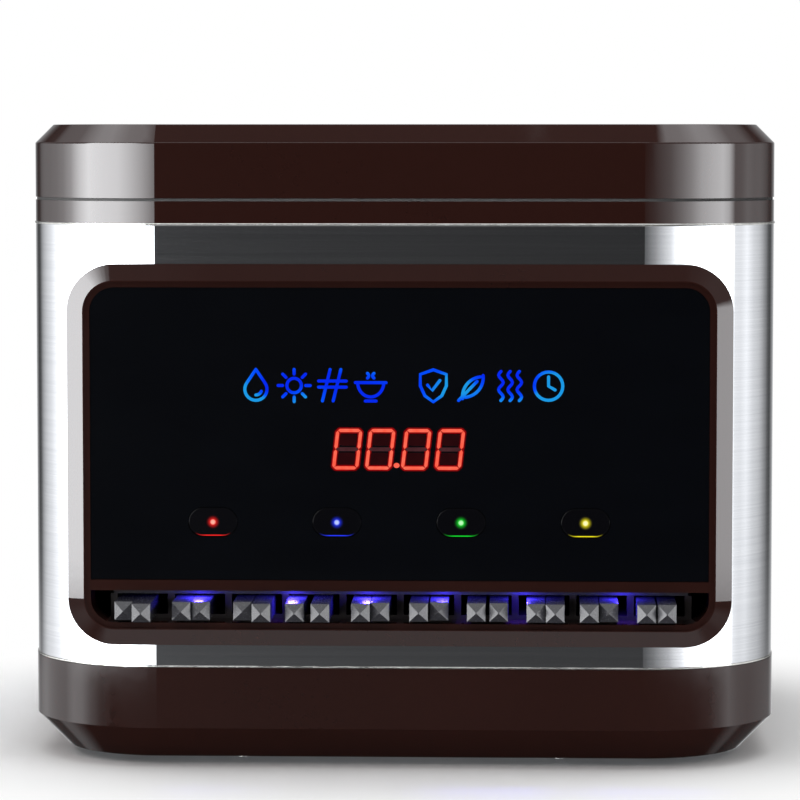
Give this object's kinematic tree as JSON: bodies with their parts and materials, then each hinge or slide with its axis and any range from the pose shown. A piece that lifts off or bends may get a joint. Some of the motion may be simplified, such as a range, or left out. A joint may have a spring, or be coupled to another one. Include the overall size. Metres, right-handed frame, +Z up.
{
  "type": "chopstick sterilizer box",
  "caption": "Counter-top box that stores chopsticks under a hinged lid, dries and sterilises them, and presents them through a slot across its front.",
  "frame": {"origin": "centre of the whole object's box, on the surface that its feet stand on", "axes": "+X to the right as seen from the front, +Y to the rear, +Z up; the front faces -Y"},
  "size_m": [0.3308, 0.3124, 0.2812],
  "materials": {
    "brown_plastic": "glossy moulded, dark brown",
    "brushed_steel": "horizontal brush lines",
    "plain_steel": "rolled sheet",
    "black_glass": "black-backed, polished",
    "clear_black_button": "polished, lit from behind",
    "chopstick_alloy": "satin dark grey",
    "rubber": "matte",
    "screw_steel": "plated",
    "board": "lacquered circuit board",
    "red_digits": "red digits behind a tinted window",
    "blue_sign": "white diffuser lit blue",
    "lamp_plastic": "clear lamp domes",
    "white_plastic": "moulded, white",
    "black_plastic": "moulded, black",
    "bright_sheet": "polished reflector sheet",
    "quartz_tube": "clear lamp tube with metal ends",
    "brass_gear": "cut teeth",
    "rack_plastic": "acetal",
    "copper_core": "laminated core with winding",
    "heater_fins": "pressed fins",
    "ozone_block": "potted block"
  },
  "bodies": {
    "casing": {"base_housing": "brown_plastic", "collar": "brown_plastic", "bezel_frame": "brown_plastic", "channel_tray": "brown_plastic", "steel_shell": "brushed_steel", "rear_cover": "plain_steel", "bottom_plate": "plain_steel", "hopper_bin": "plain_steel", "motor_bracket": "plain_steel", "air_duct": "plain_steel", "front_glass": "black_glass", "feet": "rubber", "gasket": "rubber", "foot_screws": "screw_steel", "bottom_screws": "screw_steel", "rear_cover_screws": "screw_steel", "board_screws": "screw_steel", "motor_screws": "screw_steel", "hinge_pins": "screw_steel", "guide_rods": "screw_steel", "display_board": "board", "power_board": "board", "digit_display": "red_digits", "sign_backlight": "blue_sign", "button_lamps": "lamp_plastic", "lamp_strip": "lamp_plastic", "key_switches": "black_plastic", "fan_housing": "black_plastic", "power_inlet": "black_plastic", "lid_switch": "black_plastic", "gear_motor": "plain_steel", "heater": "heater_fins", "ozone_generator": "ozone_block", "transformer": "copper_core"},
    "lid": {"lid_cover": "brown_plastic", "lid_liner": "bright_sheet", "liner_screws": "screw_steel", "uv_lamp": "quartz_tube", "lamp_holders": "white_plastic", "lid_magnet": "screw_steel"},
    "pusher": {"pusher_comb": "rack_plastic", "pusher_rack": "rack_plastic"},
    "pinion": {"drive_pinion": "brass_gear", "motor_shaft": "screw_steel"},
    "fan": {"fan_rotor": "black_plastic"},
    "power_key": {"power_button": "clear_black_button"},
    "sterilise_key": {"sterilise_button": "clear_black_button"},
    "dispense_key": {"dispense_button": "clear_black_button"},
    "repeat_key": {"repeat_button": "clear_black_button"},
    "pair_01": {"chopstick_pair_01": "chopstick_alloy"},
    "pair_02": {"chopstick_pair_02": "chopstick_alloy"},
    "pair_03": {"chopstick_pair_03": "chopstick_alloy"},
    "pair_04": {"chopstick_pair_04": "chopstick_alloy"},
    "pair_05": {"chopstick_pair_05": "chopstick_alloy"},
    "pair_06": {"chopstick_pair_06": "chopstick_alloy"},
    "pair_07": {"chopstick_pair_07": "chopstick_alloy"},
    "pair_08": {"chopstick_pair_08": "chopstick_alloy"},
    "pair_09": {"chopstick_pair_09": "chopstick_alloy"},
    "pair_10": {"chopstick_pair_10": "chopstick_alloy"}
  },
  "joints": [
    {"name": "lid_hinge", "type": "hinge", "parent": "casing", "child": "lid", "pos_m": [0, 0.15225, 0.24855], "axis": [-1, 0, 0], "range_deg": [0, 95]},
    {"name": "pusher_slide", "type": "slide", "parent": "casing", "child": "pusher", "axis": [0, -1, 0], "range_m": [0, 0.0325]},
    {"name": "pinion_spin", "type": "hinge", "parent": "casing", "child": "pinion", "pos_m": [0, 0.08875, 0.04205], "axis": [1, 0, 0], "range_deg": [0, 207]},
    {"name": "fan_spin", "type": "hinge", "parent": "casing", "child": "fan", "pos_m": [0, -0.04775, 0.0072], "axis": [0, 0, 1], "continuous": true},
    {"name": "power_key_press", "type": "slide", "parent": "casing", "child": "power_key", "axis": [0, 1, 0], "range_m": [0, 0.0008], "stiffness_N_per_m": 1500},
    {"name": "sterilise_key_press", "type": "slide", "parent": "casing", "child": "sterilise_key", "axis": [0, 1, 0], "range_m": [0, 0.0008], "stiffness_N_per_m": 1500},
    {"name": "dispense_key_press", "type": "slide", "parent": "casing", "child": "dispense_key", "axis": [0, 1, 0], "range_m": [0, 0.0008], "stiffness_N_per_m": 1500},
    {"name": "repeat_key_press", "type": "slide", "parent": "casing", "child": "repeat_key", "axis": [0, 1, 0], "range_m": [0, 0.0008], "stiffness_N_per_m": 1500},
    {"name": "take_pair_01", "type": "slide", "parent": "casing", "child": "pair_01", "axis": [0, -1, 0], "range_m": [0, 0.24]},
    {"name": "take_pair_02", "type": "slide", "parent": "casing", "child": "pair_02", "axis": [0, -1, 0], "range_m": [0, 0.24]},
    {"name": "take_pair_03", "type": "slide", "parent": "casing", "child": "pair_03", "axis": [0, -1, 0], "range_m": [0, 0.24]},
    {"name": "take_pair_04", "type": "slide", "parent": "casing", "child": "pair_04", "axis": [0, -1, 0], "range_m": [0, 0.24]},
    {"name": "take_pair_05", "type": "slide", "parent": "casing", "child": "pair_05", "axis": [0, -1, 0], "range_m": [0, 0.24]},
    {"name": "take_pair_06", "type": "slide", "parent": "casing", "child": "pair_06", "axis": [0, -1, 0], "range_m": [0, 0.24]},
    {"name": "take_pair_07", "type": "slide", "parent": "casing", "child": "pair_07", "axis": [0, -1, 0], "range_m": [0, 0.24]},
    {"name": "take_pair_08", "type": "slide", "parent": "casing", "child": "pair_08", "axis": [0, -1, 0], "range_m": [0, 0.24]},
    {"name": "take_pair_09", "type": "slide", "parent": "casing", "child": "pair_09", "axis": [0, -1, 0], "range_m": [0, 0.24]},
    {"name": "take_pair_10", "type": "slide", "parent": "casing", "child": "pair_10", "axis": [0, -1, 0], "range_m": [0, 0.24]}
  ],
  "couplings": [
    {"joint": "pinion_spin", "follows": "pusher_slide", "rad_per_m": 111.11}
  ]
}
